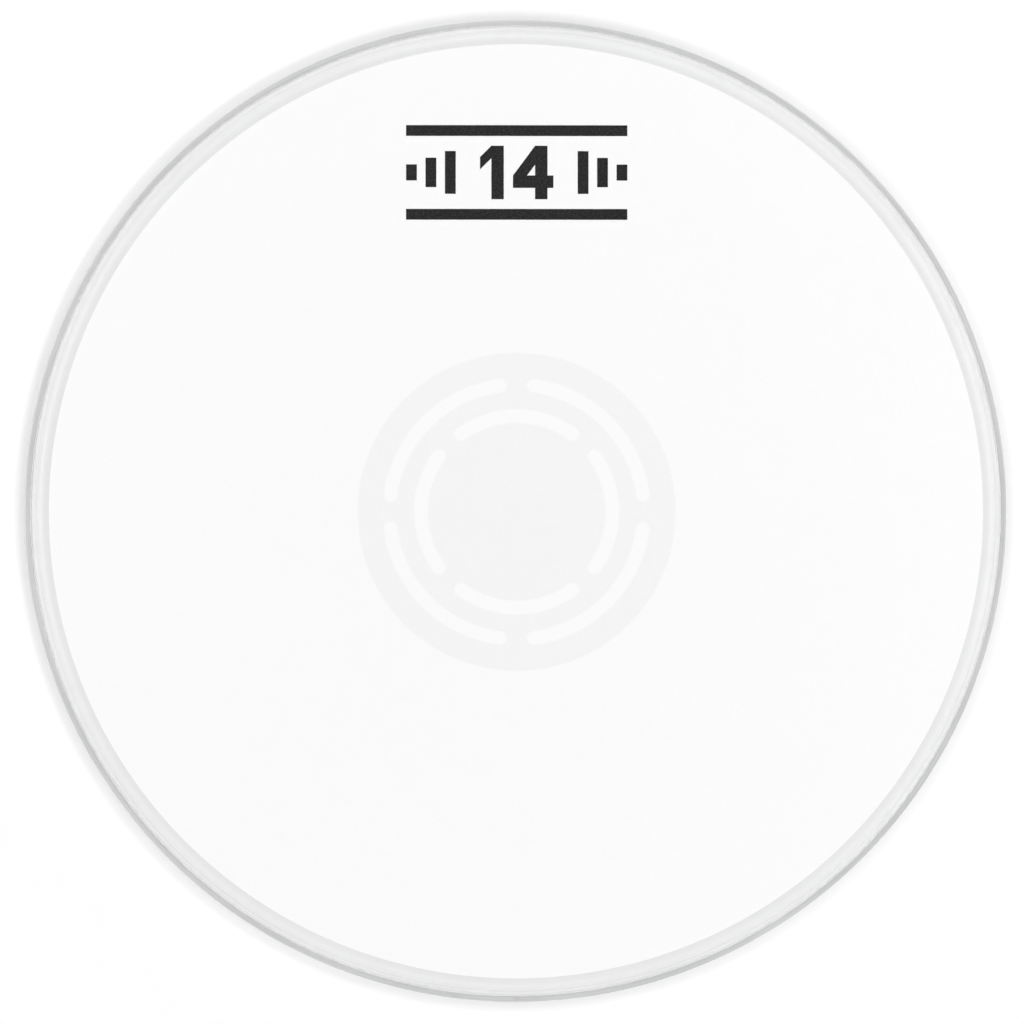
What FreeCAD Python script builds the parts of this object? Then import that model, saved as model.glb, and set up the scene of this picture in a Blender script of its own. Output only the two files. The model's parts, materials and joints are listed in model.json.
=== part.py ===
"""Coated snare drum head for a 14 inch drum: two formed plies of polyester film potted in a rolled aluminium
flesh hoop, with a sprayed playing coat, a slotted patch under the centre and a printed size mark.

Millimetres. The hoop stands on Z = 0, +Z points out of the playing surface and +Y points at the size mark.
"""

import FreeCAD
import Part
import Sketcher
import math
import os

# Driving dimensions: alias, value, meaning. Angles are in degrees, counts are whole numbers.
SIZES = [
    ("shell_bore_diameter", 358.4, "inside of the flesh hoop, which slips over the drum shell"),
    ("hoop_width", 4.3, "hoop from its inside to its outside, along a radius"),
    ("hoop_height", 9.5, "hoop from the bench to the face that the counter hoop presses on"),
    ("hoop_wall", 0.9, "thickness of the channel's walls, floor and lip"),
    ("hoop_edge_radius", 0.5, "rounding of the hoop's outer corners"),
    ("inner_wall_drop", 1.3, "channel's inner wall ends this far below the hoop's top"),
    ("weld_width", 1.6, "length of hoop that the butt weld makes up, round the outside"),
    ("seam_bearing", 270, "where the weld is, from +X towards +Y"),
    ("ply_thickness", 0.254, "one ply of film, 10 thousandths of an inch"),
    ("skirt_gap", 0.2, "resin between the inner wall and the film's skirt"),
    ("throat_gap", 0.6, "resin between the film's skirt and the lip"),
    ("skirt_end_gap", 0.8, "resin between the channel's floor and the skirt's end"),
    ("throat_drop", 0.5, "skirt starts to lean in this far below the hoop's top"),
    ("throat_radius", 4.0, "inside radius of the film's bend out of the channel"),
    ("collar_depth", 9.5, "hoop's top to the film's flat underside"),
    ("collar_lean", 20, "collar's slope, from the vertical"),
    ("shoulder_radius", 3.5, "inside radius where the collar turns into the flat"),
    ("perforation_diameter", 2.6, "resin keys through the skirt"),
    ("perforation_margin", 0.9, "film between a perforation and the skirt's end"),
    ("perforation_count", 48, "perforations round the skirt"),
    ("resin_shortfall", 0.3, "resin ends this far below the hoop's top"),
    ("coat_margin", 1.2, "bare flat film outside the playing coat"),
    ("coat_thickness", 0.06, "sprayed playing coat"),
    ("dot_diameter", 118.0, "patch under the centre"),
    ("dot_thickness", 0.076, "patch film, 3 thousandths of an inch"),
    ("adhesive_thickness", 0.04, "adhesive that holds the patch"),
    ("dot_rim", 9.3, "patch from its edge to the outer ring of slots"),
    ("slot_width", 5.0, "arc slots in the patch"),
    ("slot_land", 6.7, "patch between the two rings of slots"),
    ("slot_count", 4, "slots in each ring"),
    ("outer_slot_bridge", 7.7, "patch between neighbouring slots of the outer ring"),
    ("inner_slot_bridge", 6.7, "patch between neighbouring slots of the inner ring"),
    ("mark_inset", 30.0, "edge of the coat to the size mark"),
    ("mark_width", 82.0, "size mark, left to right"),
    ("mark_height", 35.0, "size mark, bottom to top"),
    ("ink_thickness", 0.03, "printed ink"),
    ("rule_thickness", 4.0, "bars above and below the numerals"),
    ("rule_gap", 3.6, "numerals to those bars"),
    ("numeral_stroke", 4.6, "stroke of the numerals"),
    ("numeral_gap", 3.4, "between the two numerals"),
    ("one_flag", 4.2, "reach of the flag of the 1"),
    ("four_width", 15.0, "width of the 4"),
    ("four_foot", 4.2, "crossbar of the 4, above the base line"),
    ("four_overhang", 2.2, "crossbar of the 4, past its stem"),
    ("four_slant", 7.0, "slanted stroke of the 4, measured upright"),
    ("meter_bar_width", 4.0, "graded bars beside the numerals"),
    ("meter_bar_gap", 3.2, "between those bars"),
]

# Heights of the graded bars beside the numerals, from the outside in, as shares of the numerals' height.
METER_BAR_SHARES = (0.3, 0.55, 0.8)

doc = FreeCAD.newDocument("drum_head")
sheet = doc.addObject("Spreadsheet::Sheet", "Sizes")
for row, (alias, value, meaning) in enumerate(SIZES, 1):
    sheet.set(f"A{row}", meaning)
    sheet.set(f"B{row}", str(value))
    sheet.setAlias(f"B{row}", alias)
doc.recompute()

# Places worked out from the driving dimensions. Each is an expression on the sheet.
BORE_RADIUS = "Sizes.shell_bore_diameter / 2"
HOOP_RADIUS = f"({BORE_RADIUS} + Sizes.hoop_width)"
CHANNEL_IN = f"({BORE_RADIUS} + Sizes.hoop_wall)"
CHANNEL_OUT = f"({HOOP_RADIUS} - Sizes.hoop_wall)"
SKIRT_RADIUS = f"({CHANNEL_IN} + Sizes.skirt_gap)"
LIP_RADIUS = f"({SKIRT_RADIUS} + 2 * Sizes.ply_thickness + Sizes.throat_gap)"
LIP_UNDERSIDE = "(Sizes.hoop_height - Sizes.hoop_wall)"
INNER_WALL_TOP = "(Sizes.hoop_height - Sizes.inner_wall_drop)"
WELD_ANGLE = f"(Sizes.weld_width / {HOOP_RADIUS} * 1rad)"

SKIRT_END = "(Sizes.hoop_wall + Sizes.skirt_end_gap)"
PERFORATION_HEIGHT = f"({SKIRT_END} + Sizes.perforation_margin + Sizes.perforation_diameter / 2)"
BEND_HEIGHT = "(Sizes.hoop_height - Sizes.throat_drop)"
FLAT_UNDERSIDE = "(Sizes.hoop_height + Sizes.collar_depth)"
FILM_TOP = f"({FLAT_UNDERSIDE} + 2 * Sizes.ply_thickness)"
LEAN = "(Sizes.collar_lean * 1deg)"
SLOPE_RISE = (
    f"({FLAT_UNDERSIDE} - {BEND_HEIGHT} - Sizes.throat_radius * sin({LEAN})"
    f" - Sizes.shoulder_radius * (1 - sin({LEAN})))"
)
FLAT_RADIUS = (
    f"({SKIRT_RADIUS} - Sizes.throat_radius * (1 - cos({LEAN}))"
    f" - {SLOPE_RISE} * tan({LEAN}) - Sizes.shoulder_radius * cos({LEAN}))"
)

COAT_RADIUS = f"({FLAT_RADIUS} - Sizes.coat_margin)"
COAT_TOP = f"({FILM_TOP} + Sizes.coat_thickness)"
OUTER_SLOT_RADIUS = "(Sizes.dot_diameter / 2 - Sizes.dot_rim - Sizes.slot_width / 2)"
INNER_SLOT_RADIUS = f"({OUTER_SLOT_RADIUS} - Sizes.slot_width - Sizes.slot_land)"
ADHESIVE_UNDERSIDE = f"({FLAT_UNDERSIDE} - Sizes.adhesive_thickness)"
DOT_UNDERSIDE = f"({ADHESIVE_UNDERSIDE} - Sizes.dot_thickness)"
MARK_CENTRE = f"({COAT_RADIUS} - Sizes.mark_inset - Sizes.mark_height / 2)"


def number(expression):
    """The value of an expression on the sheet, in millimetres or, for an angle, in degrees."""
    found = sheet.evalExpression(expression)
    return float(getattr(found, "Value", found))


def new_body(label):
    body = doc.addObject("PartDesign::Body", label)
    body.Label = label
    return body


def origin_feature(body, role):
    """One of the body's own base planes or axes."""
    return next(feature for feature in body.Origin.OriginFeatures if feature.Role == role)


def new_sketch(body, name, plane_role):
    sketch = body.newObject("Sketcher::SketchObject", name)
    sketch.AttachmentSupport = (origin_feature(body, plane_role), [""])
    sketch.MapMode = "FlatFace"
    return sketch


def dimension(sketch, constraint, expression):
    """Adds a dimension whose value is an expression on the sheet."""
    kind, *where = constraint
    value = number(expression)
    if kind == "Angle":
        value = math.radians(value)
    index = sketch.addConstraint(Sketcher.Constraint(kind, *where, value))
    sketch.setExpression(f"Constraints[{index}]", expression)


def polygon(sketch, corners):
    """A closed outline of straight sides. Each corner is a pair of expressions, pinned to the sheet."""
    points = [FreeCAD.Vector(number(x), number(y), 0) for x, y in corners]
    first = sketch.GeometryCount
    count = len(points)
    for i, point in enumerate(points):
        sketch.addGeometry(Part.LineSegment(point, points[(i + 1) % count]))
    for i, (x, y) in enumerate(corners):
        side = first + i
        following = first + (i + 1) % count
        sketch.addConstraint(Sketcher.Constraint("Coincident", side, 2, following, 1))
        dimension(sketch, ("DistanceX", side, 1), x)
        dimension(sketch, ("DistanceY", side, 1), y)


def rectangle(sketch, left, bottom, right, top):
    polygon(sketch, [(left, bottom), (right, bottom), (right, top), (left, top)])


def revolve(body, sketch, angle):
    """Turns a section about Z, half of the angle to each side of the section's plane."""
    turned = body.newObject("PartDesign::Revolution", f"{body.Label}_ring")
    turned.Profile = sketch
    turned.ReferenceAxis = (sketch, ["V_Axis"])
    turned.Midplane = True
    turned.setExpression("Angle", angle)
    doc.recompute()
    return turned


def pad(body, sketch, thickness):
    raised = body.newObject("PartDesign::Pad", f"{sketch.Name}_pad")
    raised.Profile = sketch
    raised.setExpression("Length", thickness)
    doc.recompute()
    return raised


def repeat_round_axis(body, feature, count):
    """Repeats a feature round Z, evenly over a whole turn."""
    pattern = body.newObject("PartDesign::PolarPattern", f"{feature.Name}_round")
    pattern.Originals = [feature]
    pattern.Axis = (origin_feature(body, "Z_Axis"), [""])
    pattern.Angle = 360
    pattern.setExpression("Occurrences", count)
    body.Tip = pattern
    doc.recompute()


def circular_edges(shape, radius, height):
    """Names of the edges that run round Z at a radius and a height."""
    tolerance = 1e-4
    names = []
    for i, edge in enumerate(shape.Edges, 1):
        if not isinstance(edge.Curve, Part.Circle):
            continue
        centre = edge.Curve.Center
        if abs(edge.Curve.Radius - radius) < tolerance and abs(centre.z - height) < tolerance:
            names.append(f"Edge{i}")
    return names


def hoop_stretch(label, angle, bearing):
    """A stretch of the channel that the flesh hoop is rolled from: walls, floor and inward lip."""
    body = new_body(label)
    section = new_sketch(body, f"{label}_section", "XZ_Plane")
    polygon(
        section,
        [
            (BORE_RADIUS, "0"),
            (HOOP_RADIUS, "0"),
            (HOOP_RADIUS, "Sizes.hoop_height"),
            (LIP_RADIUS, "Sizes.hoop_height"),
            (LIP_RADIUS, LIP_UNDERSIDE),
            (CHANNEL_OUT, LIP_UNDERSIDE),
            (CHANNEL_OUT, "Sizes.hoop_wall"),
            (CHANNEL_IN, "Sizes.hoop_wall"),
            (CHANNEL_IN, INNER_WALL_TOP),
            (BORE_RADIUS, INNER_WALL_TOP),
        ],
    )
    ring = revolve(body, section, angle)
    corners = [(BORE_RADIUS, "0"), (HOOP_RADIUS, "0"), (HOOP_RADIUS, "Sizes.hoop_height")]
    rounded = body.newObject("PartDesign::Fillet", f"{label}_rounding")
    edges = [e for r, z in corners for e in circular_edges(ring.Shape, number(r), number(z))]
    rounded.Base = (ring, edges)
    rounded.setExpression("Radius", "Sizes.hoop_edge_radius")
    body.Tip = rounded
    body.Placement = FreeCAD.Placement(
        FreeCAD.Vector(), FreeCAD.Rotation(FreeCAD.Vector(0, 0, 1), number(bearing))
    )
    body.setExpression("Placement.Rotation.Angle", bearing)
    return body


def ply_section(sketch, offset):
    """Section of one ply, which lies a given distance outside the film's underside: a skirt in the channel,
    a bend out of it, the sloping collar, the shoulder and half of the flat.
    """
    lean = math.radians(number(LEAN))
    bend = (number(f"{SKIRT_RADIUS} - Sizes.throat_radius"), number(BEND_HEIGHT))
    shoulder = (number(FLAT_RADIUS), number(f"{FLAT_UNDERSIDE} - Sizes.shoulder_radius"))
    up = FreeCAD.Vector(0, 0, 1)

    def face(distance):
        """Skirt, bend, slope, shoulder and flat of the face at a distance outside the film's underside."""
        bend_radius = number(f"Sizes.throat_radius + {distance}")
        shoulder_radius = number(f"Sizes.shoulder_radius + {distance}")

        def on_arc(centre, radius, angle):
            return FreeCAD.Vector(
                centre[0] + radius * math.cos(angle), centre[1] + radius * math.sin(angle), 0
            )

        skirt_top = on_arc(bend, bend_radius, 0)
        skirt_end = FreeCAD.Vector(skirt_top.x, number(SKIRT_END), 0)
        flat_edge = on_arc(shoulder, shoulder_radius, math.pi / 2)
        slope = (on_arc(bend, bend_radius, lean), on_arc(shoulder, shoulder_radius, lean))
        bend_circle = Part.Circle(FreeCAD.Vector(*bend, 0), up, bend_radius)
        shoulder_circle = Part.Circle(FreeCAD.Vector(*shoulder, 0), up, shoulder_radius)
        lines = [
            Part.LineSegment(skirt_end, skirt_top),
            Part.ArcOfCircle(bend_circle, 0, lean),
            Part.LineSegment(*slope),
            Part.ArcOfCircle(shoulder_circle, lean, math.pi / 2),
            Part.LineSegment(flat_edge, FreeCAD.Vector(0, flat_edge.y, 0)),
        ]
        return [sketch.addGeometry(line) for line in lines]

    inside = face(offset)
    outside = face(f"{offset} + Sizes.ply_thickness")
    drawn = sketch.Geometry
    skirt_edge = sketch.addGeometry(
        Part.LineSegment(drawn[inside[0]].StartPoint, drawn[outside[0]].StartPoint)
    )
    axis_line = sketch.addGeometry(Part.LineSegment(drawn[inside[4]].EndPoint, drawn[outside[4]].EndPoint))
    for skirt, bend_arc, slope_line, shoulder_arc, flat in (inside, outside):
        for before, after in (
            (skirt, bend_arc),
            (bend_arc, slope_line),
            (slope_line, shoulder_arc),
            (shoulder_arc, flat),
        ):
            sketch.addConstraint(Sketcher.Constraint("Tangent", before, 2, after, 1))
        sketch.addConstraint(Sketcher.Constraint("Vertical", skirt))
        sketch.addConstraint(Sketcher.Constraint("Horizontal", flat))
    for bent in (1, 3):
        sketch.addConstraint(Sketcher.Constraint("Coincident", inside[bent], 3, outside[bent], 3))
    sketch.addConstraint(Sketcher.Constraint("Coincident", skirt_edge, 1, inside[0], 1))
    sketch.addConstraint(Sketcher.Constraint("Coincident", skirt_edge, 2, outside[0], 1))
    sketch.addConstraint(Sketcher.Constraint("Horizontal", skirt_edge))
    sketch.addConstraint(Sketcher.Constraint("Coincident", axis_line, 1, inside[4], 2))
    sketch.addConstraint(Sketcher.Constraint("Coincident", axis_line, 2, outside[4], 2))
    sketch.addConstraint(Sketcher.Constraint("PointOnObject", axis_line, 1, -2))
    sketch.addConstraint(Sketcher.Constraint("PointOnObject", axis_line, 2, -2))
    dimension(sketch, ("DistanceX", inside[0], 1), f"{SKIRT_RADIUS} + {offset}")
    dimension(sketch, ("DistanceY", inside[0], 1), SKIRT_END)
    dimension(sketch, ("DistanceX", skirt_edge, 1, skirt_edge, 2), "Sizes.ply_thickness")
    dimension(sketch, ("DistanceY", inside[1], 3), BEND_HEIGHT)
    dimension(sketch, ("Radius", inside[1]), f"Sizes.throat_radius + {offset}")
    dimension(sketch, ("Radius", inside[3]), f"Sizes.shoulder_radius + {offset}")
    dimension(sketch, ("DistanceY", inside[4], 2), f"{FLAT_UNDERSIDE} + {offset}")
    dimension(sketch, ("DistanceY", axis_line, 1, axis_line, 2), "Sizes.ply_thickness")
    dimension(sketch, ("Angle", inside[2]), f"90deg + {LEAN}")


def perforation_pins(label):
    """A ring of pins across the channel, which the perforations in both plies are cut with."""
    body = new_body(label)
    pin = body.newObject("PartDesign::AdditiveCylinder", f"{label}_one")
    pin.setExpression("Radius", "Sizes.perforation_diameter / 2")
    pin.setExpression("Height", f"{LIP_RADIUS} - {CHANNEL_IN}")
    pin.Placement.Rotation = FreeCAD.Rotation(FreeCAD.Vector(0, 1, 0), 90)
    pin.setExpression("Placement.Base.x", CHANNEL_IN)
    pin.setExpression("Placement.Base.z", PERFORATION_HEIGHT)
    doc.recompute()
    repeat_round_axis(body, pin, "Sizes.perforation_count")
    return body


def ply(label, offset, pins):
    """One ply of film, with the perforations that the resin keys through."""
    film = new_body(f"{label}_film")
    section = new_sketch(film, f"{label}_section", "XZ_Plane")
    ply_section(section, offset)
    revolve(film, section, "360deg")
    perforated = doc.addObject("Part::Cut", label)
    perforated.Base = film
    perforated.Tool = pins
    return perforated


def resin(label, *plies):
    """The channel's filling: everything inside the hoop that the film leaves free, up to the resin's level."""
    fill = new_body(f"{label}_fill")
    section = new_sketch(fill, f"{label}_section", "XZ_Plane")
    between_plies = f"({SKIRT_RADIUS} + Sizes.ply_thickness)"
    level = "(Sizes.hoop_height - Sizes.resin_shortfall)"
    polygon(
        section,
        [
            (CHANNEL_IN, "Sizes.hoop_wall"),
            (CHANNEL_OUT, "Sizes.hoop_wall"),
            (CHANNEL_OUT, LIP_UNDERSIDE),
            (LIP_RADIUS, LIP_UNDERSIDE),
            (LIP_RADIUS, level),
            (between_plies, level),
            (between_plies, INNER_WALL_TOP),
            (CHANNEL_IN, INNER_WALL_TOP),
        ],
    )
    revolve(fill, section, "360deg")
    left = fill
    for film in plies:
        cut = doc.addObject("Part::Cut", f"{label}_round_{film.Label}")
        cut.Base = left
        cut.Tool = film
        left = cut
    left.Label = label
    return left


def disc_sketch(body, name, radius):
    sketch = new_sketch(body, name, "XY_Plane")
    rim = sketch.addGeometry(Part.Circle(FreeCAD.Vector(), FreeCAD.Vector(0, 0, 1), number(radius)))
    sketch.addConstraint(Sketcher.Constraint("Coincident", rim, 3, -1, 1))
    dimension(sketch, ("Radius", rim), radius)
    return sketch


def coat(label):
    """The sprayed coat: a thin disc on the flat of the film."""
    body = new_body(label)
    pad(body, disc_sketch(body, f"{label}_disc", COAT_RADIUS), "Sizes.coat_thickness")
    body.setExpression("Placement.Base.z", FILM_TOP)
    return body


def arc_slot(sketch, radius, bridge, first_bridge):
    """A round-ended slot along a circle about the centre. It runs from one bridge to the next, anticlockwise."""
    tip = f"asin(({bridge} + Sizes.slot_width) / 2 / {radius})"
    start = f"({first_bridge} + {tip})"
    end = f"({first_bridge} + 360deg / Sizes.slot_count - {tip})"
    half_width = number("Sizes.slot_width / 2")
    middle = number(radius)
    begin, finish = math.radians(number(start)), math.radians(number(end))
    up = FreeCAD.Vector(0, 0, 1)

    def cap_centre(angle):
        return FreeCAD.Vector(middle * math.cos(angle), middle * math.sin(angle), 0)

    def side(distance):
        return Part.ArcOfCircle(Part.Circle(FreeCAD.Vector(), up, distance), begin, finish)

    def cap(angle, turn_from):
        return Part.ArcOfCircle(Part.Circle(cap_centre(angle), up, half_width), turn_from, turn_from + math.pi)

    outer = sketch.addGeometry(side(middle + half_width))
    inner = sketch.addGeometry(side(middle - half_width))
    end_cap = sketch.addGeometry(cap(finish, finish))
    start_cap = sketch.addGeometry(cap(begin, begin + math.pi))
    for arc in (outer, inner):
        sketch.addConstraint(Sketcher.Constraint("Coincident", arc, 3, -1, 1))
    for arc, arc_point, cap_arc, cap_point in (
        (outer, 2, end_cap, 1),
        (inner, 2, end_cap, 2),
        (inner, 1, start_cap, 1),
        (outer, 1, start_cap, 2),
    ):
        sketch.addConstraint(Sketcher.Constraint("Tangent", arc, arc_point, cap_arc, cap_point))
    dimension(sketch, ("Radius", outer), f"{radius} + Sizes.slot_width / 2")
    dimension(sketch, ("Radius", inner), f"{radius} - Sizes.slot_width / 2")
    for cap_arc, angle in ((start_cap, start), (end_cap, end)):
        dimension(sketch, ("DistanceX", cap_arc, 3), f"{radius} * cos({angle})")


def patch_layer(label, thickness, underside):
    """One layer of the die-cut patch: a disc with two rings of arc slots, whose bridges alternate."""
    body = new_body(label)
    pad(body, disc_sketch(body, f"{label}_disc", "Sizes.dot_diameter / 2"), thickness)
    slots = new_sketch(body, f"{label}_slots", "XY_Plane")
    arc_slot(slots, OUTER_SLOT_RADIUS, "Sizes.outer_slot_bridge", "0deg")
    arc_slot(slots, INNER_SLOT_RADIUS, "Sizes.inner_slot_bridge", "(180deg / Sizes.slot_count)")
    cut = body.newObject("PartDesign::Pocket", f"{label}_cut")
    cut.Profile = slots
    cut.Type = "ThroughAll"
    cut.Reversed = True
    doc.recompute()
    repeat_round_axis(body, cut, "Sizes.slot_count")
    body.setExpression("Placement.Base.z", underside)
    return body


def size_mark(label):
    """The printed size mark: the numerals 14 between two bars, with graded bars on both sides."""
    body = new_body(label)
    print_outline = new_sketch(body, f"{label}_print", "XY_Plane")
    half_width = "Sizes.mark_width / 2"
    half_height = "Sizes.mark_height / 2"
    numeral_top = f"({half_height} - Sizes.rule_thickness - Sizes.rule_gap)"
    stroke = "Sizes.numeral_stroke"

    for top in (half_height, f"(Sizes.rule_thickness - {half_height})"):
        rectangle(print_outline, f"-{half_width}", f"{top} - Sizes.rule_thickness", half_width, top)

    one_left = f"(-(Sizes.one_flag + {stroke} + Sizes.numeral_gap + Sizes.four_width) / 2)"
    stem_left = f"({one_left} + Sizes.one_flag)"
    stem_right = f"({stem_left} + {stroke})"
    polygon(
        print_outline,
        [
            (stem_left, f"-{numeral_top}"),
            (stem_right, f"-{numeral_top}"),
            (stem_right, numeral_top),
            (stem_left, numeral_top),
            (one_left, f"{numeral_top} - Sizes.one_flag"),
            (one_left, f"{numeral_top} - Sizes.one_flag - {stroke}"),
            (stem_left, f"{numeral_top} - {stroke}"),
        ],
    )

    four_left = f"({stem_right} + Sizes.numeral_gap)"
    four_right = f"({four_left} + Sizes.four_width)"
    four_stem_right = f"({four_right} - Sizes.four_overhang)"
    four_stem_left = f"({four_stem_right} - {stroke})"
    bar_bottom = f"(Sizes.four_foot - {numeral_top})"
    bar_top = f"({bar_bottom} + {stroke})"
    slant_run = f"({four_stem_left} - {four_left})"
    slant_rise = f"({numeral_top} - {bar_top})"
    polygon(
        print_outline,
        [
            (four_stem_left, f"-{numeral_top}"),
            (four_stem_right, f"-{numeral_top}"),
            (four_stem_right, bar_bottom),
            (four_right, bar_bottom),
            (four_right, bar_top),
            (four_stem_right, bar_top),
            (four_stem_right, numeral_top),
            (four_stem_left, numeral_top),
            (four_left, bar_top),
            (four_left, bar_bottom),
            (four_stem_left, bar_bottom),
        ],
    )
    counter_top = f"({numeral_top} - Sizes.four_slant)"
    counter_left = f"({four_left} + {slant_run} * Sizes.four_slant / {slant_rise})"
    polygon(
        print_outline,
        [(four_stem_left, bar_top), (four_stem_left, counter_top), (counter_left, bar_top)],
    )

    for place, share in enumerate(METER_BAR_SHARES):
        outside = f"({half_width} - {place} * (Sizes.meter_bar_width + Sizes.meter_bar_gap))"
        inside = f"({outside} - Sizes.meter_bar_width)"
        bar_half = f"{numeral_top} * {share}"
        rectangle(print_outline, inside, f"-{bar_half}", outside, bar_half)
        rectangle(print_outline, f"-{outside}", f"-{bar_half}", f"-{inside}", bar_half)

    pad(body, print_outline, "Sizes.ink_thickness")
    body.setExpression("Placement.Base.y", MARK_CENTRE)
    body.setExpression("Placement.Base.z", COAT_TOP)
    return body


def checked(parts):
    """Stops with a plain message if anything in the document failed or a sub-part isn't a sound solid."""
    doc.recompute()
    for item in doc.Objects:
        if "Invalid" in item.State or "Error" in item.State:
            raise RuntimeError(f"{item.Label} failed: {item.State}")
        if item.TypeId == "Sketcher::SketchObject" and not item.FullyConstrained:
            raise RuntimeError(f"{item.Label} isn't fully constrained")
    for part in parts:
        if part.Shape.isNull() or not part.Shape.isValid() or not part.Shape.Solids:
            raise RuntimeError(f"{part.Label} isn't a sound solid")
    return parts


seam = "(Sizes.seam_bearing * 1deg)"
pins = perforation_pins("perforation_pins")
bottom_ply = ply("bottom_ply", "0", pins)
top_ply = ply("top_ply", "Sizes.ply_thickness", pins)
pieces = [
    hoop_stretch("flesh_hoop", f"360deg - {WELD_ANGLE}", f"{seam} + 180deg"),
    hoop_stretch("hoop_butt_weld", WELD_ANGLE, seam),
    resin("potting_resin", bottom_ply, top_ply),
    bottom_ply,
    top_ply,
    coat("playing_coat"),
    patch_layer("dot_adhesive", "Sizes.adhesive_thickness", ADHESIVE_UNDERSIDE),
    patch_layer("reverse_dot", "Sizes.dot_thickness", DOT_UNDERSIDE),
    size_mark("printed_mark"),
]
os.makedirs("parts", exist_ok=True)
for piece in checked(pieces):
    piece.Shape.exportStep(f"parts/{piece.Label}.step")
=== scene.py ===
import json
import math

import bmesh
import bpy
from mathutils import Matrix, Vector


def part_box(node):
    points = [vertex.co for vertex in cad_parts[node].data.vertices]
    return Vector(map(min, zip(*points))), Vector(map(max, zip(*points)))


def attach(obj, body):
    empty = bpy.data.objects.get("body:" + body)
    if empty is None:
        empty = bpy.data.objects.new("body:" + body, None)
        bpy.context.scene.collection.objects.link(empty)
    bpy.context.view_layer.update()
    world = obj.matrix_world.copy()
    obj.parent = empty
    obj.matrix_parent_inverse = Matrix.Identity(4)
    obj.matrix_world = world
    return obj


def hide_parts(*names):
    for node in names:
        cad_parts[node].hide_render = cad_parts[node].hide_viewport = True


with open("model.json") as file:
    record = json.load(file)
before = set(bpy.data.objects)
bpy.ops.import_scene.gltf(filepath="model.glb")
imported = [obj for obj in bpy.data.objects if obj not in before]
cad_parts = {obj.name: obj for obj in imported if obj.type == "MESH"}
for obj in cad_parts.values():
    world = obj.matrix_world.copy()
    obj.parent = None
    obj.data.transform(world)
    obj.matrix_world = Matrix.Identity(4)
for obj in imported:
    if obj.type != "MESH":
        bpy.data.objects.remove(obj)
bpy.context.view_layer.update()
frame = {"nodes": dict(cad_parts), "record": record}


# Flesh hoop: soft aluminium strip rolled to a channel, with its outer wall turned in at the top as a lip.
# It is bent into a ring and keeps the fine lines that the rollers draw along it, under a satin mill finish.
hoop_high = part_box("flesh_hoop")[1]
hoop_radius = hoop_high.y
hoop_height = hoop_high.z
hoop_wall = 0.0009
lip_reach = 0.00209
lip_radius = hoop_radius - lip_reach
lip_underside = hoop_height - hoop_wall
inner_wall_height = 0.0082
shell_bore = next(mount for mount in frame["record"]["mounts"] if mount["name"] == "shell_bore")
bore_radius = shell_bore["dims"]["r_mm"] / 1000
channel_inner = bore_radius + hoop_wall
channel_outer = hoop_radius - hoop_wall
outer_corner = 0.0005
cut_edge = 0.00018
weld_width = 0.0016
weld_bearing = math.radians(270)
weld_angle = weld_width / hoop_radius
mill_shades = (0.55, 0.554, 0.558, 1), (0.70, 0.704, 0.708, 1)
mill_roughness = 0.54, 0.42
line_share = 0.7
steps_round = 288
merge_distance = 1e-6
crease_angle = math.radians(32)


def flat_outline(corners):
    """A closed outline in the plane of the axis, from the radius and height of each corner."""
    outline = bmesh.new()
    points = [outline.verts.new((radius, 0, height)) for radius, height in corners]
    outline.faces.new(points)
    return outline, points


def round_corner(outline, corner, radius, segments):
    """Rounds one corner of an outline to a radius."""
    along, back = [edge.other_vert(corner).co - corner.co for edge in corner.link_edges]
    turn = math.pi - along.angle(back)
    bmesh.ops.bevel(
        outline, geom=[corner], offset=radius * math.tan(turn / 2), offset_type="OFFSET",
        segments=segments, profile=0.5, affect="VERTICES", material=-1,
    )


def spin_outline(outline, start=0.0, sweep=math.tau, steps=steps_round):
    """Turns an outline round the head's axis into a closed skin."""
    whole = sweep == math.tau
    bmesh.ops.delete(outline, geom=outline.faces[:], context="FACES_ONLY")
    on_axis = [edge for edge in outline.edges if all(vert.co.x < merge_distance for vert in edge.verts)]
    bmesh.ops.delete(outline, geom=on_axis, context="EDGES")
    turn = Matrix.Rotation(start, 3, "Z")
    bmesh.ops.rotate(outline, verts=outline.verts, cent=(0, 0, 0), matrix=turn)
    bmesh.ops.spin(
        outline, geom=outline.verts[:] + outline.edges[:], cent=(0, 0, 0), axis=(0, 0, 1),
        angle=sweep, steps=steps, use_merge=whole, use_duplicate=False,
    )
    if not whole:
        open_edges = [edge for edge in outline.edges if edge.is_boundary]
        bmesh.ops.holes_fill(outline, edges=open_edges, sides=0)
    bmesh.ops.remove_doubles(outline, verts=outline.verts, dist=merge_distance)
    bmesh.ops.recalc_face_normals(outline, faces=outline.faces)


def make_piece(name, shape, material, node):
    """Makes a finished mesh an object that stands for a CAD node."""
    mesh = bpy.data.meshes.new(name)
    shape.to_mesh(mesh)
    shape.free()
    mesh.shade_smooth()
    mesh.set_sharp_from_angle(angle=crease_angle)
    mesh.materials.append(material)
    piece = bpy.data.objects.new(name, mesh)
    bpy.context.scene.collection.objects.link(piece)
    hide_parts(node)
    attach(piece, "root")
    return piece


def put(tree, kind, sockets, **settings):
    """Adds a node, with its settings, and fills its sockets with values or with other nodes' outputs."""
    node = tree.nodes.new(kind)
    for name, value in settings.items():
        setattr(node, name, value)
    for socket, value in sockets.items():
        if isinstance(value, bpy.types.NodeSocket):
            tree.links.new(value, node.inputs[socket])
        else:
            node.inputs[socket].default_value = value
    return node


def work_out(tree, operation, first, second=0.0):
    """One step of arithmetic on sockets or numbers."""
    return put(tree, "ShaderNodeMath", {0: first, 1: second}, operation=operation).outputs[0]


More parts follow.
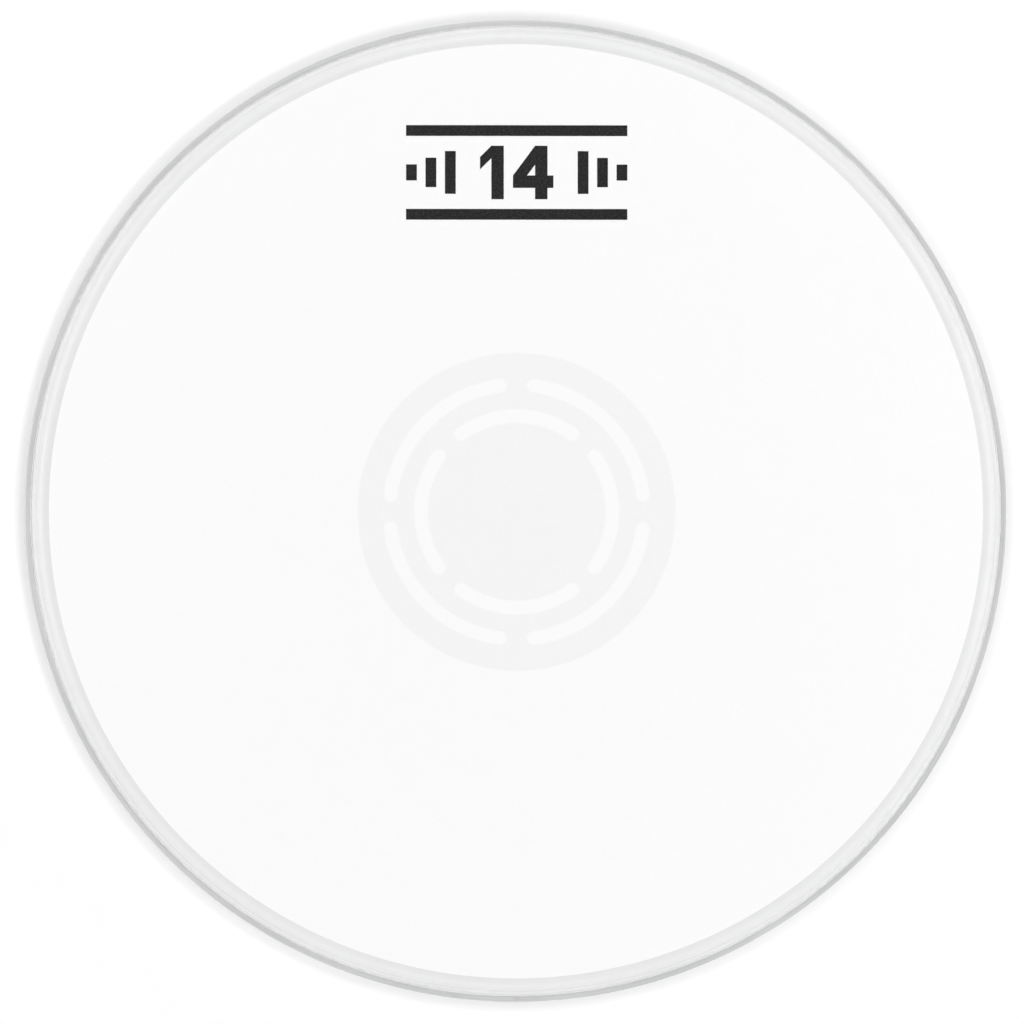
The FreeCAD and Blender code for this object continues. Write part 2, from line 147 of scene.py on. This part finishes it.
def spread(tree, value, to_low, to_high, low=0.3, high=0.7, smooth=False):
    """Maps a span of values, by default the one that most of a noise lies in, onto another."""
    span = {"Value": value, "From Min": low, "From Max": high, "To Min": to_low, "To Max": to_high}
    steps = "SMOOTHSTEP" if smooth else "LINEAR"
    return put(tree, "ShaderNodeMapRange", span, interpolation_type=steps).outputs["Result"]


def blend_colours(tree, share, first, second):
    """Mixes two colours by a share from 0 to 1. The node's colour sockets are told apart by number."""
    return put(tree, "ShaderNodeMix", {0: share, 6: first, 7: second}, data_type="RGBA").outputs[2]


def tint(tree, pattern, first, second, **span):
    """A colour that goes from one shade to another with a pattern."""
    return blend_colours(tree, spread(tree, pattern, 0.0, 1.0, **span), first, second)


def add_shares(tree, share, first, second):
    """Lays two patterns over each other, a share of the first and the rest of the second."""
    first_part = work_out(tree, "MULTIPLY", first, share)
    second_part = work_out(tree, "MULTIPLY", second, 1 - share)
    return work_out(tree, "ADD", first_part, second_part)


def noise(tree, place, scale, detail=4.0, roughness=0.6):
    """Soft patches of light and dark, with a scale in patches to the metre."""
    sockets = {"Vector": place, "Scale": scale, "Detail": detail, "Roughness": roughness}
    return put(tree, "ShaderNodeTexNoise", sockets).outputs["Fac"]


def axis_distance(tree, place):
    """How far a place lies from the head's axis."""
    level = put(tree, "ShaderNodeVectorMath", {0: place, 1: (1, 1, 0)}, operation="MULTIPLY").outputs[0]
    return put(tree, "ShaderNodeVectorMath", {0: level}, operation="LENGTH").outputs["Value"]


def new_group(name, inputs, outputs):
    """An empty shader node group, with the sockets that its nodes take from and give to."""
    group = bpy.data.node_groups.new(name, "ShaderNodeTree")
    for socket, kind in inputs.items():
        group.interface.new_socket(socket, in_out="INPUT", socket_type=kind)
    for socket in outputs:
        group.interface.new_socket(socket, in_out="OUTPUT", socket_type="NodeSocketFloat")
    given = group.nodes.new("NodeGroupInput").outputs
    result = group.nodes.new("NodeGroupOutput").inputs
    return group, given, result


def plain_material(name, constants):
    """A material with its constant sockets set, and its tree, shader and object coordinates."""
    material = bpy.data.materials.new(name)
    material.use_nodes = True
    tree = material.node_tree
    shader = tree.nodes["Principled BSDF"]
    for socket, value in constants.items():
        shader.inputs[socket].default_value = value
    where = tree.nodes.new("ShaderNodeTexCoord").outputs["Object"]
    return material, tree, shader, where


def dress(tree, shader, colour, roughness, relief=None, strength=0.0, depth=0.0001):
    """Leads a colour and a roughness into a shader, and a relief as bumps on the surface."""
    tree.links.new(colour, shader.inputs["Base Color"])
    tree.links.new(roughness, shader.inputs["Roughness"])
    if relief is not None:
        bump = put(tree, "ShaderNodeBump", {"Height": relief, "Strength": strength, "Distance": depth})
        tree.links.new(bump.outputs["Normal"], shader.inputs["Normal"])


# The fine lines follow the ring, so their pattern runs on bearing, radius and height.
# Their one break is at the weld.
drawn_lines, given, result = new_group(
    "drawn_lines",
    {"Place": "NodeSocketVector", "Along": "NodeSocketFloat", "Across": "NodeSocketFloat"},
    ["Lines"],
)
apart = put(drawn_lines, "ShaderNodeSeparateXYZ", {0: given["Place"]}).outputs
bearing = work_out(drawn_lines, "ARCTAN2", apart["X"], apart["Y"])
run = work_out(drawn_lines, "MULTIPLY", bearing, hoop_radius)
from_axis = axis_distance(drawn_lines, given["Place"])
unrolled = put(drawn_lines, "ShaderNodeCombineXYZ", {
    "X": work_out(drawn_lines, "MULTIPLY", run, given["Along"]),
    "Y": work_out(drawn_lines, "MULTIPLY", from_axis, given["Across"]),
    "Z": work_out(drawn_lines, "MULTIPLY", apart["Z"], given["Across"]),
}).outputs[0]
drawn_lines.links.new(noise(drawn_lines, unrolled, 1.0), result["Lines"])


def lines_on(tree, where, along, across):
    """Fine lines round the ring, with the number of their breaks and of lines to the metre."""
    sockets = {"Place": where, "Along": along, "Across": across}
    return put(tree, "ShaderNodeGroup", sockets, node_tree=drawn_lines).outputs["Lines"]


aluminium, tree, shader, where = plain_material("drawn_aluminium", {"Metallic": 1.0})
roller_lines = lines_on(tree, where, along=16.0, across=1900.0)
handling = noise(tree, where, scale=55.0, roughness=0.55)
tone = add_shares(tree, line_share, roller_lines, handling)
dress(
    tree, shader, tint(tree, tone, *mill_shades), spread(tree, tone, *mill_roughness),
    relief=roller_lines, strength=0.12,
)


def hoop_section():
    """The channel's outline, with rounded outer corners and softened cut edges."""
    outline, corner = flat_outline([
        (bore_radius, 0), (hoop_radius, 0), (hoop_radius, hoop_height), (lip_radius, hoop_height),
        (lip_radius, lip_underside), (channel_outer, lip_underside),
        (channel_outer, hoop_wall), (channel_inner, hoop_wall),
        (channel_inner, inner_wall_height), (bore_radius, inner_wall_height),
    ])
    for place in (0, 1, 2):
        round_corner(outline, corner[place], outer_corner, segments=6)
    for place in (3, 4, 8, 9):
        round_corner(outline, corner[place], cut_edge, segments=3)
    return outline


ring = hoop_section()
spin_outline(ring, weld_bearing + weld_angle / 2, math.tau - weld_angle)
make_piece("hoop_ring", ring, aluminium, "flesh_hoop")


# Butt weld: the short stretch of weld metal that closes the rolled ring, ground flush with it all round.
# The grinding leaves short marks across the hoop, and the metal is a little duller there.
weld_shoulder = 0.00006
weld_shades = (0.53, 0.53, 0.53, 1), (0.63, 0.63, 0.628, 1)
weld_roughness = 0.52, 0.38

ground_weld, tree, shader, where = plain_material("ground_weld", {"Metallic": 1.0})
grinding = lines_on(tree, where, along=7000.0, across=160.0)
dress(
    tree, shader, tint(tree, grinding, *weld_shades), spread(tree, grinding, *weld_roughness),
    relief=grinding, strength=0.3,
)

bead = hoop_section()
spin_outline(bead, weld_bearing - weld_angle / 2, weld_angle, steps=2)
end_faces = [face for face in bead.faces if len(face.verts) > 4]
end_edges = [edge for edge in bead.edges if any(face in end_faces for face in edge.link_faces)]
bmesh.ops.bevel(
    bead, geom=end_edges, offset=weld_shoulder, offset_type="OFFSET",
    segments=2, profile=0.5, affect="EDGES", material=-1,
)
make_piece("hoop_weld", bead, ground_weld, "hoop_butt_weld")


# Two plies of milky polyester film, one nested on the other, heat-formed with a shoulder and sloping collar.
# Painted shade makes the film greyer at the shoulder's bend, and painted light whiter on the collar below
# it.
# Its skirt goes down into the hoop's channel, where a row of punched holes lets the resin key through.
film_gauge = 0.000254
skirt_radius = 0.1803
skirt_outside = skirt_radius + 2 * film_gauge
skirt_end = 0.0017
throat_level = 0.009
throat_bend = 0.004
shoulder_bend = 0.0035
collar_lean = math.radians(20)
coat_low, coat_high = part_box("playing_coat")
coat_radius = coat_high.x
coat_edge_blur = 0.0004
flat_level = coat_low.z - 2 * film_gauge
hole_count = 48
hole_radius = 0.0013
hole_level = 0.0039
hole_sides = 14
shoulder_shade_levels = 0.0183, 0.0192
foot_light_levels = 0.0125, 0.018
eased_shades = (0.805, 0.807, 0.808, 1), (0.83, 0.832, 0.833, 1)
painted_shoulder_shade = (0.755, 0.757, 0.758, 1), (0.78, 0.782, 0.783, 1)
painted_foot_light = (0.905, 0.907, 0.908, 1), (0.935, 0.937, 0.938, 1)
under_coat_shades = (0.875, 0.876, 0.875, 1), (0.905, 0.906, 0.905, 1)
film_roughness = 0.16, 0.26
forming_share = 0.6


def within(tree, distance, edge, blur):
    """A mask that is 1 short of an edge and 0 past it, with a soft step between."""
    return spread(tree, distance, 1.0, 0.0, edge - blur, edge + blur, smooth=True)


film, tree, shader, where = plain_material("milky_film", {"Transmission Weight": 0.05, "IOR": 1.57})
under_coat = within(tree, axis_distance(tree, where), coat_radius, coat_edge_blur)
forming = lines_on(tree, where, along=260.0, across=22.0)
cloud = noise(tree, where, scale=38.0, roughness=0.55)
stretched = add_shares(tree, forming_share, forming, cloud)
height = put(tree, "ShaderNodeSeparateXYZ", {0: where}).outputs["Z"]
# Painted shade: the film from the shoulder down is greyer, to dim the light that falls on the shoulder.
shoulder_shade_share = spread(tree, height, 1.0, 0.0, *shoulder_shade_levels, smooth=True)
# Painted light: the collar's lower part is whiter, to lift the shade where it sinks towards the lip.
foot_light_share = spread(tree, height, 1.0, 0.0, *foot_light_levels, smooth=True)
shoulder_film = blend_colours(
    tree, shoulder_shade_share, tint(tree, stretched, *eased_shades), tint(tree, stretched, *painted_shoulder_shade),
)
bare_film = blend_colours(tree, foot_light_share, shoulder_film, tint(tree, stretched, *painted_foot_light))
backed_film = tint(tree, cloud, *under_coat_shades, low=0.35, high=0.65)
bare = work_out(tree, "SUBTRACT", 1.0, under_coat)
dress(
    tree, shader, blend_colours(tree, under_coat, bare_film, backed_film),
    spread(tree, cloud, *film_roughness),
    relief=work_out(tree, "MULTIPLY", forming, bare), strength=0.05, depth=0.0003,
)


def hole_punches(reach_in, reach_out):
    """A ring of short round bars through the skirt, one at each punched hole."""
    bars = bmesh.new()
    lie_down = Matrix.Rotation(math.radians(90), 4, "Y")
    set_out = Matrix.Translation(((reach_in + reach_out) / 2, 0, hole_level))
    for count in range(hole_count):
        turn = Matrix.Rotation(math.tau * count / hole_count, 4, "Z")
        bmesh.ops.create_cone(
            bars, cap_ends=True, segments=hole_sides, radius1=hole_radius, radius2=hole_radius,
            depth=reach_out - reach_in, matrix=turn @ set_out @ lie_down,
        )
    return bars


def combine(piece, shape, operation):
    """Cuts a shape out of a piece's mesh, or joins it to the mesh."""
    tool_mesh = bpy.data.meshes.new("tool")
    shape.to_mesh(tool_mesh)
    shape.free()
    tool = bpy.data.objects.new("tool", tool_mesh)
    bpy.context.scene.collection.objects.link(tool)
    step = piece.modifiers.new("combine", "BOOLEAN")
    step.object = tool
    step.operation = operation
    step.solver = "EXACT"
    evaluated = piece.evaluated_get(bpy.context.evaluated_depsgraph_get())
    combined = bpy.data.meshes.new_from_object(evaluated)
    piece.modifiers.clear()
    piece.data = combined
    bpy.data.objects.remove(tool)


def formed_ply(name, node, inside):
    """One ply, whose inner face stands off the lower ply's inner face by a distance."""
    face_corners = []
    for off in (inside, inside + film_gauge):
        skirt = skirt_radius + off
        flat = flat_level + off
        throat_corner = throat_level + (throat_bend + off) * math.tan(collar_lean / 2)
        shoulder_corner = skirt - (flat - throat_corner) * math.tan(collar_lean)
        face_corners.append([
            (skirt, skirt_end), (skirt, throat_corner), (shoulder_corner, flat), (0, flat),
        ])
    inner_face, outer_face = face_corners
    outline, corner = flat_outline(inner_face + outer_face[::-1])
    for off, throat, shoulder in ((inside, 1, 2), (inside + film_gauge, 6, 5)):
        round_corner(outline, corner[throat], throat_bend + off, segments=8)
        round_corner(outline, corner[shoulder], shoulder_bend + off, segments=20)
    spin_outline(outline)
    piece = make_piece(name, outline, film, node)
    combine(piece, hole_punches(skirt_radius - film_gauge, skirt_outside + film_gauge), "DIFFERENCE")


formed_ply("lower_film", "bottom_ply", 0.0)
formed_ply("upper_film", "top_ply", film_gauge)


# Potting resin: pale and hard, poured into the hoop's channel round the skirt, where it locks the film.
# Only its edge shows, as a thin sunk ring between the lip and the collar, drawn up a little on both sides.
resin_level = 0.0092
resin_climb = 0.00015
hollow_reach = 0.00026
key_root = 0.0001
resin_shades = (0.81, 0.809, 0.80, 1), (0.87, 0.869, 0.86, 1)
resin_roughness = 0.36, 0.52

cured_resin, tree, shader, where = plain_material("cured_resin", {"IOR": 1.5})
mottle = noise(tree, where, scale=420.0)
bubbles = put(tree, "ShaderNodeTexVoronoi", {"Vector": where, "Scale": 1500.0}).outputs["Distance"]
dress(
    tree, shader, tint(tree, mottle, *resin_shades), spread(tree, mottle, *resin_roughness),
    relief=spread(tree, bubbles, 0.0, 1.0, low=0.0, high=0.25), strength=0.25,
)

sunk_middle = (lip_radius + skirt_outside) / 2
fill, corner = flat_outline([
    (channel_inner, hoop_wall), (channel_outer, hoop_wall),
    (channel_outer, lip_underside), (lip_radius, lip_underside),
    (lip_radius, resin_level + resin_climb), (sunk_middle, resin_level - resin_climb),
    (skirt_outside, resin_level + resin_climb), (skirt_outside, skirt_end), (skirt_radius, skirt_end),
    (skirt_radius, inner_wall_height), (channel_inner, inner_wall_height),
])
bmesh.ops.bevel(
    fill, geom=[corner[5]], offset=hollow_reach, offset_type="OFFSET",
    segments=4, profile=0.5, affect="VERTICES", material=-1,
)
spin_outline(fill)
resin_ring = make_piece("channel_resin", fill, cured_resin, "potting_resin")
combine(resin_ring, hole_punches(skirt_radius - key_root, skirt_outside + key_root), "UNION")


# Playing coat: white textured paint sprayed on the flat of the upper film, dry and sandy to the touch.
# It stops in a clean masked edge short of the shoulder, and the patch under the film shows through faintly.
coat_edge = 0.00004
patch_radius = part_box("reverse_dot")[1].x
patch_rim = 0.0093
slot_width = 0.005
slot_land = 0.0067
outer_slot_radius = patch_radius - patch_rim - slot_width / 2
inner_slot_radius = outer_slot_radius - slot_width - slot_land
outer_bridge = 0.0077
inner_bridge = 0.0067
eighth_turn = math.radians(45)
show_through_blur = 0.0005
open_shades = (0.945, 0.945, 0.944, 1), (0.965, 0.965, 0.964, 1)
backed_shades = (0.895, 0.896, 0.896, 1), (0.92, 0.921, 0.92, 1)
coat_roughness = 0.72, 0.82
fine_share = 0.6

# The grain of the sprayed coat, which the ink printed on it takes up as well.
sandy_grain, given, result = new_group("sandy_grain", {"Place": "NodeSocketVector"}, ["Grain", "Drift"])
fine = noise(sandy_grain, given["Place"], scale=2600.0, detail=3.0)
specks = put(sandy_grain, "ShaderNodeTexVoronoi", {"Vector": given["Place"], "Scale": 1500.0})
beads = spread(sandy_grain, specks.outputs["Distance"], 1.0, 0.0, low=0.0, high=0.55)
drift = noise(sandy_grain, given["Place"], scale=30.0, detail=5.0)
sandy_grain.links.new(add_shares(sandy_grain, fine_share, fine, beads), result["Grain"])
sandy_grain.links.new(drift, result["Drift"])


def slot_mask(tree, from_centre, off_middle, ring_radius, bridge):
    """1 inside a ring of arc slots with round ends, from the bearing off a slot's middle."""
    half_span = eighth_turn - math.asin((bridge + slot_width) / 2 / ring_radius)
    past_end = work_out(tree, "MAXIMUM", work_out(tree, "SUBTRACT", off_middle, half_span), 0.0)
    reach = work_out(tree, "MULTIPLY", from_centre, work_out(tree, "COSINE", past_end))
    twice = work_out(tree, "MULTIPLY", reach, 2 * ring_radius)
    squares = work_out(tree, "ADD", work_out(tree, "MULTIPLY", from_centre, from_centre), ring_radius ** 2)
    left_over = work_out(tree, "MAXIMUM", work_out(tree, "SUBTRACT", squares, twice), 0.0)
    distance = work_out(tree, "SQRT", left_over)
    return within(tree, distance, slot_width / 2, show_through_blur)


sprayed_coat, tree, shader, where = plain_material("sprayed_coat", {"IOR": 1.45, "Specular IOR Level": 0.3})
apart = put(tree, "ShaderNodeSeparateXYZ", {0: where}).outputs
across = work_out(tree, "ABSOLUTE", apart["X"])
upward = work_out(tree, "ABSOLUTE", apart["Y"])
bearing = work_out(tree, "ARCTAN2", upward, across)
off_diagonal = work_out(tree, "ABSOLUTE", work_out(tree, "SUBTRACT", bearing, eighth_turn))
off_square = work_out(tree, "SUBTRACT", eighth_turn, off_diagonal)
from_centre = axis_distance(tree, where)
disc = within(tree, from_centre, patch_radius, show_through_blur)
outer_gap = slot_mask(tree, from_centre, off_diagonal, outer_slot_radius, outer_bridge)
inner_gap = slot_mask(tree, from_centre, off_square, inner_slot_radius, inner_bridge)
backed = work_out(tree, "SUBTRACT", disc, work_out(tree, "ADD", outer_gap, inner_gap))
coat_grain = put(tree, "ShaderNodeGroup", {"Place": where}, node_tree=sandy_grain).outputs
open_white = tint(tree, coat_grain["Grain"], *open_shades, low=0.25, high=0.65)
backed_white = tint(tree, coat_grain["Grain"], *backed_shades, low=0.25, high=0.65)
dress(
    tree, shader, blend_colours(tree, backed, open_white, backed_white),
    spread(tree, coat_grain["Drift"], *coat_roughness),
    relief=coat_grain["Grain"], strength=0.45, depth=0.00015,
)

layer, corner = flat_outline([
    (0, coat_low.z), (coat_radius, coat_low.z), (coat_radius, coat_high.z), (0, coat_high.z),
])
round_corner(layer, corner[2], coat_edge, segments=3)
spin_outline(layer)
make_piece("sprayed_layer", layer, sprayed_coat, "playing_coat")


# Damping patch: a thin slotted disc of polyester under the middle of the film, on a clear adhesive film.
# Both are die cut together, so their edges and arc slots match.
tack_shades = (0.86, 0.855, 0.83, 1), (0.93, 0.925, 0.90, 1)
tack_roughness = 0.3, 0.45
patch_shades = (0.74, 0.75, 0.75, 1), (0.81, 0.815, 0.815, 1)
patch_roughness = 0.32, 0.46


def give_finish(node, material):
    """Puts a material on a CAD node that shows as it is."""
    materials = frame["nodes"][node].data.materials
    materials.clear()
    materials.append(material)


clear_adhesive, tree, shader, where = plain_material(
    "clear_adhesive", {"Transmission Weight": 0.3, "IOR": 1.47},
)
tack = noise(tree, where, scale=240.0)
dress(tree, shader, tint(tree, tack, *tack_shades), spread(tree, tack, *tack_roughness))
give_finish("dot_adhesive", clear_adhesive)

satin_patch, tree, shader, where = plain_material("satin_patch", {"IOR": 1.57})
fibre = noise(tree, where, scale=900.0, roughness=0.65)
dress(
    tree, shader, tint(tree, fibre, *patch_shades), spread(tree, fibre, *patch_roughness),
    relief=fibre, strength=0.15,
)
give_finish("reverse_dot", satin_patch)


# Size mark: one pass of black ink screened onto the coat, with plain numerals for the head's size in inches
# between graded bars and two rules. The coat's grain comes through the thin ink.
ink_shades = (0.012, 0.012, 0.013, 1), (0.045, 0.045, 0.046, 1)
ink_roughness = 0.55, 0.7

screen_ink, tree, shader, where = plain_material("screen_ink", {"IOR": 1.45, "Specular IOR Level": 0.2})
ink_grain = put(tree, "ShaderNodeGroup", {"Place": where}, node_tree=sandy_grain).outputs
dress(
    tree, shader, tint(tree, ink_grain["Grain"], *ink_shades, high=0.75),
    spread(tree, ink_grain["Drift"], *ink_roughness),
    relief=ink_grain["Grain"], strength=0.25,
)
give_finish("printed_mark", screen_ink)


# Studio: a white table under a soft sky, with four wide lamps overhead and four low ones at its sides.
# Of the lamps only three thin strips show in the film and the metal, as streaks along the collar.
# The table shows white to the camera and keeps the soft shadow along the hoop's foot.
table_reach = 12.0
table_drop = 0.0001
table_grey = (0.875, 0.875, 0.875, 1)
near_glow, far_glow = 0.13, 1.0
glow_span = 0.32, 1.1
sky_strength = 0.2
overhead_distance = 2.0
overhead_rise = math.radians(66)
overhead_size = 1.1, 0.35
overhead_lamps = {
    "key_lamp": (315, 10.6), "right_fill": (45, 7.4), "left_fill": (225, 6.4), "fill_lamp": (135, 5.2),
}
side_height = 0.125
side_size = 1.6, 0.24
side_power = 3.5
side_lamps = {
    "left_side": (-1.0, 0.0), "right_side": (1.0, 0.0), "back_side": (0.0, 1.0), "front_side": (0.0, -1.0),
}
strip_height = 0.25
strip_size = 1.0, 0.08
strips = {"left_strip": (-1.0, 0.15, 1.05), "right_strip": (1.0, 0.15, 0.7), "back_strip": (0.1, 1.0, 0.7)}


def seen_straight(tree):
    """1 for rays from the camera, and for those that a mirror or a clear piece passes on, else 0."""
    rays = tree.nodes.new("ShaderNodeLightPath").outputs
    passed_on = work_out(tree, "ADD", rays["Is Glossy Ray"], rays["Is Transmission Ray"])
    return work_out(tree, "MINIMUM", work_out(tree, "ADD", rays["Is Camera Ray"], passed_on), 1.0)


table_white, tree, shader, where = plain_material(
    "table_white", {"Base Color": table_grey, "Roughness": 0.9, "Specular IOR Level": 0.0},
)
off_centre = put(tree, "ShaderNodeVectorMath", {0: where}, operation="LENGTH").outputs["Value"]
glow_strength = spread(tree, off_centre, near_glow, far_glow, *glow_span, smooth=True)
seen_glow = work_out(tree, "MULTIPLY", seen_straight(tree), glow_strength)
glow = put(tree, "ShaderNodeEmission", {"Color": (1, 1, 1, 1), "Strength": seen_glow})
both = put(tree, "ShaderNodeAddShader", {0: shader.outputs[0], 1: glow.outputs[0]})
tree.links.new(both.outputs[0], tree.nodes["Material Output"].inputs["Surface"])

table_top = bmesh.new()
bmesh.ops.create_grid(table_top, x_segments=1, y_segments=1, size=table_reach)
bmesh.ops.translate(table_top, verts=table_top.verts, vec=(0, 0, -table_drop))
table_mesh = bpy.data.meshes.new("white_table")
table_top.to_mesh(table_mesh)
table_top.free()
table_mesh.materials.append(table_white)
white_table = bpy.data.objects.new("white_table", table_mesh)
bpy.context.scene.collection.objects.link(white_table)

world = bpy.data.worlds.new("soft_sky")
world.use_nodes = True
tree = world.node_tree
sky = tree.nodes["Background"].inputs
sky["Color"].default_value = (1, 1, 1, 1)
tree.links.new(spread(tree, seen_straight(tree), sky_strength, 1.0, low=0.0, high=1.0), sky["Strength"])
bpy.context.scene.world = world


def hang_lamp(name, place, size, power, mirrored):
    """A rectangular lamp that hangs at a place and faces the head. Some are kept out of the reflections."""
    lamp = bpy.data.lights.new(name, "AREA")
    lamp.shape = "RECTANGLE"
    lamp.size, lamp.size_y = size
    lamp.energy = power
    holder = bpy.data.objects.new(name, lamp)
    holder.location = place
    holder.rotation_euler = (-Vector(place)).to_track_quat("-Z", "Y").to_euler()
    holder.visible_glossy = mirrored
    bpy.context.scene.collection.objects.link(holder)


for name, (degrees, power) in overhead_lamps.items():
    lean = Matrix.Rotation(-overhead_rise, 3, "Y")
    turn = Matrix.Rotation(math.radians(degrees), 3, "Z")
    hang_lamp(name, turn @ lean @ Vector((overhead_distance, 0, 0)), overhead_size, power, mirrored=False)
for name, (x, y) in side_lamps.items():
    hang_lamp(name, (x, y, side_height), side_size, side_power, mirrored=False)
for name, (x, y, power) in strips.items():
    hang_lamp(name, (x, y, strip_height), strip_size, power, mirrored=True)


# Camera: a long lens above the head, one degree off straight down towards its back left.
# The size mark is at the top of the picture.
camera_distance = 1.4
camera_tilt = math.radians(1.0)
camera_side = Vector((-0.78, 0.63, 0)).normalized()
look_at = Vector((-0.00161, -0.00016, 0.009))
lens = bpy.data.cameras.new("camera")
lens.sensor_width = 36.0
lens.lens = 131.7
straight_up = Vector((0, 0, 1))
back = (straight_up * math.cos(camera_tilt) + camera_side * math.sin(camera_tilt)).normalized()
right = Vector((0, 1, 0)).cross(back).normalized()
up = back.cross(right)
facing = Matrix((right, up, back)).transposed().to_4x4()
camera = bpy.data.objects.new("camera", lens)
camera.matrix_world = Matrix.Translation(look_at + back * camera_distance) @ facing
bpy.context.scene.collection.objects.link(camera)
bpy.context.scene.camera = camera
bpy.context.scene.view_settings.view_transform = "Standard"
